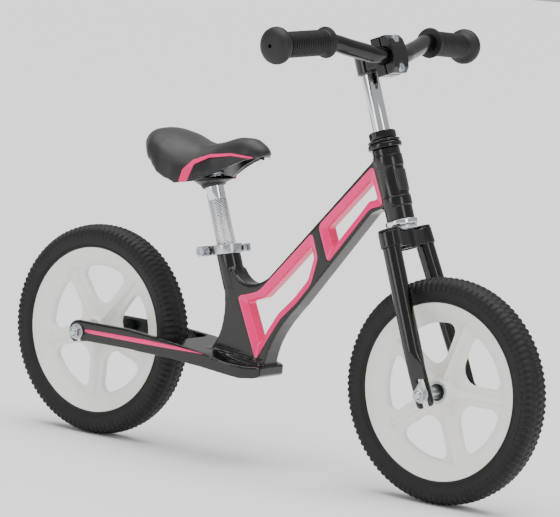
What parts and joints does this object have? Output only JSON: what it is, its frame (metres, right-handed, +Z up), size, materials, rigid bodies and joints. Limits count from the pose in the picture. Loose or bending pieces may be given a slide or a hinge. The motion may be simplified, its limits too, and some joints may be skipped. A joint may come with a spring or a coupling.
{
  "type": "balance bike",
  "caption": "Toddler's balance bike: cast frame with open windows, footboard, spoked wheels with foam tyres, quill stem and quick-release saddle.",
  "frame": {"origin": "on the ground, midway between the two axles, in the plane of the wheels", "axes": "+X forward, +Y to the rider's left, +Z up"},
  "size_m": [0.867, 0.4358, 0.5956],
  "materials": {
    "frame_paint": "gloss",
    "black_paint": "gloss",
    "black_plastic": "satin",
    "chrome": "polished",
    "zinc_steel": "satin",
    "white_nylon": "satin",
    "foam_tyre": "matte",
    "grip_foam": "matte",
    "black_vinyl": "satin",
    "pink_vinyl": "satin"
  },
  "bodies": {
    "frame": {"frame_casting": "frame_paint", "head_badge": "black_plastic", "headset_upper_cup": "black_paint", "headset_lower_cup": "chrome", "headset_upper_bearing": "zinc_steel", "headset_lower_bearing": "zinc_steel", "seat_clamp_collar": "zinc_steel", "seat_clamp_washer": "black_plastic", "seat_clamp_skewer": "zinc_steel", "seat_clamp_nut": "zinc_steel", "seat_clamp_lever_pin": "zinc_steel", "rear_axle": "zinc_steel", "rear_washer_right": "zinc_steel", "rear_washer_left": "zinc_steel", "rear_nut_right": "zinc_steel", "rear_nut_left": "zinc_steel", "rear_spacer_right": "zinc_steel", "rear_spacer_left": "zinc_steel"},
    "fork": {"steerer_tube": "zinc_steel", "fork_crown": "black_paint", "fork_leg_right": "black_paint", "fork_leg_left": "black_paint", "fork_cap_right": "black_plastic", "fork_cap_left": "black_plastic", "headset_crown_race": "zinc_steel", "headset_upper_race": "black_paint", "headset_locknut": "black_paint", "front_axle": "zinc_steel", "front_washer_right": "zinc_steel", "front_washer_left": "zinc_steel", "front_nut_right": "zinc_steel", "front_nut_left": "zinc_steel", "front_spacer_right": "zinc_steel", "front_spacer_left": "zinc_steel"},
    "front_wheel": {"front_wheel": "white_nylon", "front_tyre": "foam_tyre", "front_bearing_right": "zinc_steel", "front_bearing_left": "zinc_steel"},
    "rear_wheel": {"rear_wheel": "white_nylon", "rear_tyre": "foam_tyre", "rear_bearing_right": "zinc_steel", "rear_bearing_left": "zinc_steel"},
    "stem": {"handlebar_post": "chrome", "expander_wedge": "zinc_steel", "expander_bolt": "zinc_steel", "stem_clamp_body": "black_paint", "stem_faceplate": "black_paint", "stem_bolt_upper": "zinc_steel", "stem_bolt_lower": "zinc_steel"},
    "handlebar": {"handlebar": "black_paint", "grip_right": "grip_foam", "grip_left": "grip_foam"},
    "clamp_lever": {"seat_clamp_lever": "zinc_steel"},
    "saddle": {"seat_post": "chrome", "saddle_clamp": "zinc_steel", "saddle_base": "black_plastic", "saddle_cover": "black_vinyl", "saddle_boot": "black_plastic", "saddle_stripe_right": "pink_vinyl", "saddle_stripe_left": "pink_vinyl"}
  },
  "joints": [
    {"name": "steering", "type": "hinge", "parent": "frame", "child": "fork", "pos_m": [0.20173, 0, 0.353], "axis": [-0.342, 0, 0.9397], "continuous": true},
    {"name": "front_wheel_spin", "type": "hinge", "parent": "fork", "child": "front_wheel", "pos_m": [0.2885, 0, 0.145], "axis": [0, 1, 0], "continuous": true},
    {"name": "rear_wheel_spin", "type": "hinge", "parent": "frame", "child": "rear_wheel", "pos_m": [-0.2885, 0, 0.145], "axis": [0, 1, 0], "continuous": true},
    {"name": "bar_height", "type": "slide", "parent": "fork", "child": "stem", "axis": [-0.342, 0, 0.9397], "range_m": [-0.05, 0.025]},
    {"name": "bar_tilt", "type": "hinge", "parent": "stem", "child": "handlebar", "pos_m": [0.16647, 0, 0.56098], "axis": [0, 1, 0], "range_deg": [-60, 60]},
    {"name": "seat_height", "type": "slide", "parent": "frame", "child": "saddle", "axis": [-0.342, 0, 0.9397], "range_m": [-0.045, 0.04]},
    {"name": "clamp_lever_turn", "type": "hinge", "parent": "frame", "child": "clamp_lever", "pos_m": [-0.10119, 0.019, 0.27691], "axis": [-0.2079, 0, 0.9781], "range_deg": [0, 120]}
  ]
}
